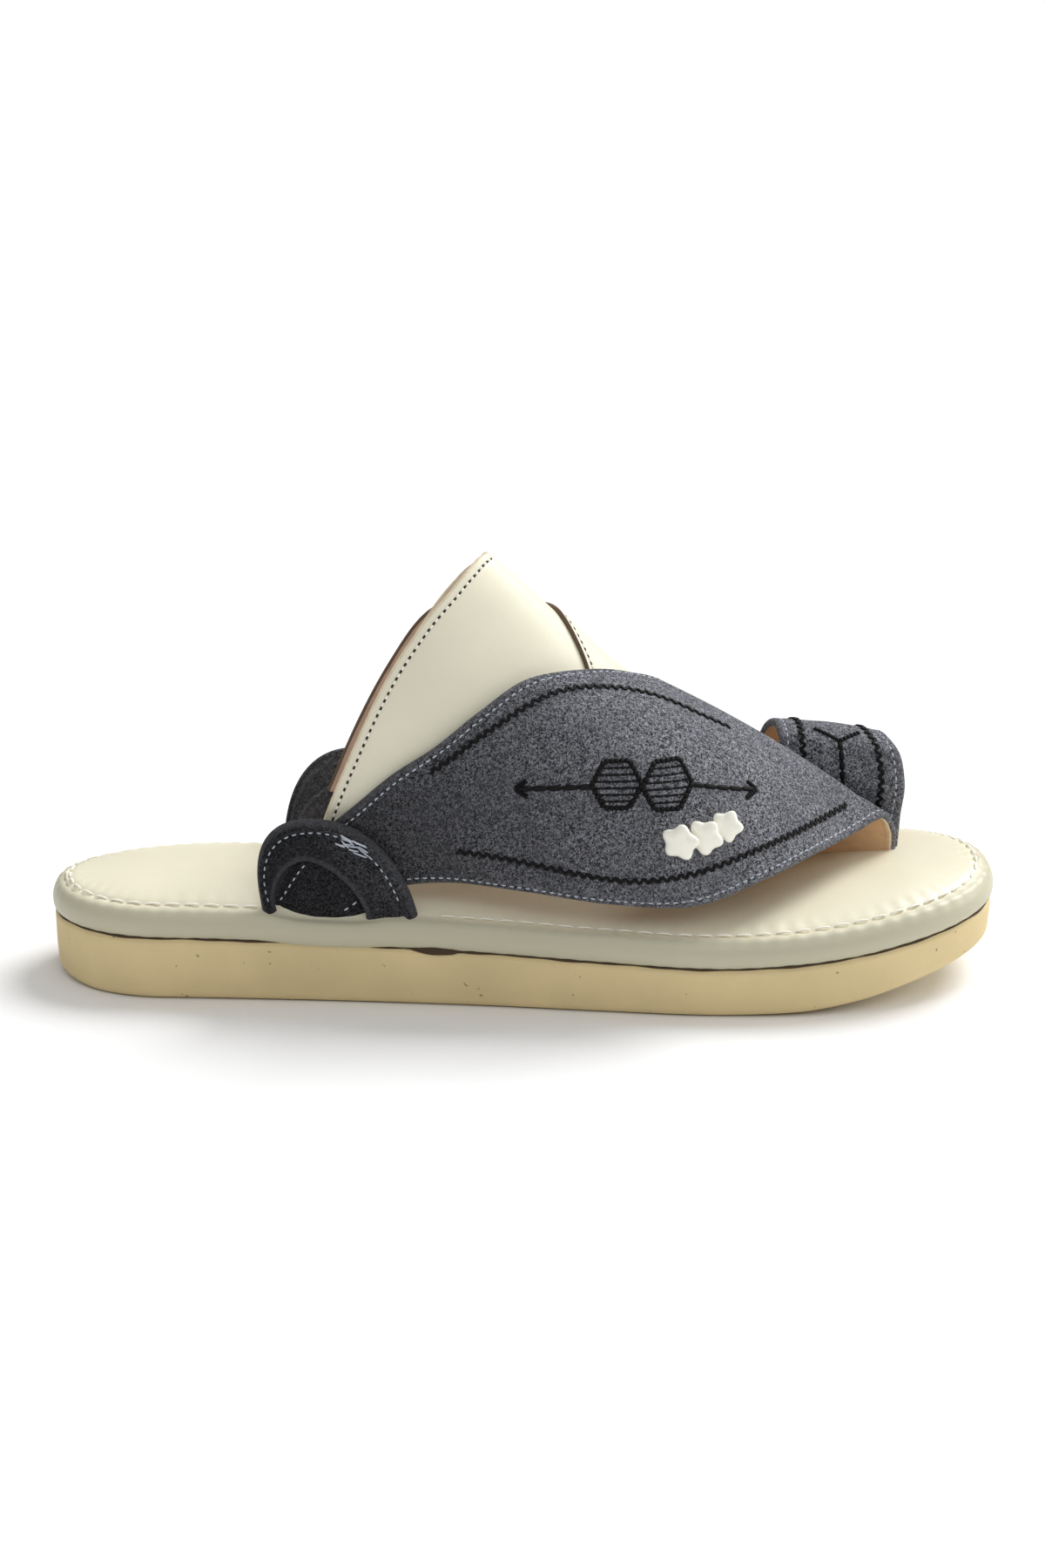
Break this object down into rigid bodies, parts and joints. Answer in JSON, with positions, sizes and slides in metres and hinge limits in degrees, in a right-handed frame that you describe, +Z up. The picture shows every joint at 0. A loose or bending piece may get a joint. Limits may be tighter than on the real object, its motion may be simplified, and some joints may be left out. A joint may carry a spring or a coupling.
{
  "type": "arabic sandal",
  "caption": "Open right-foot sandal: padded footbed on a foam sole, suede wings from a toe post to side ears, a toe ring, crossed instep straps and star beads",
  "frame": {"origin": "on the ground under the middle of the sandal's bounding box", "axes": "+X to the toe, +Y to the inner side of the foot, +Z up"},
  "size_m": [0.283, 0.098, 0.1268],
  "materials": {
    "foam": "matte moulded foam",
    "cream_leather": "satin finished leather",
    "suede": "napped suede",
    "ivory": "polished bead"
  },
  "bodies": {
    "root": {"sole": "foam", "footbed": "cream_leather", "upper": "suede", "instep_straps": "cream_leather", "ear_lateral": "suede", "ear_medial": "suede", "bead_rear": "ivory", "bead_middle": "ivory", "bead_front": "ivory"}
  },
  "joints": []
}
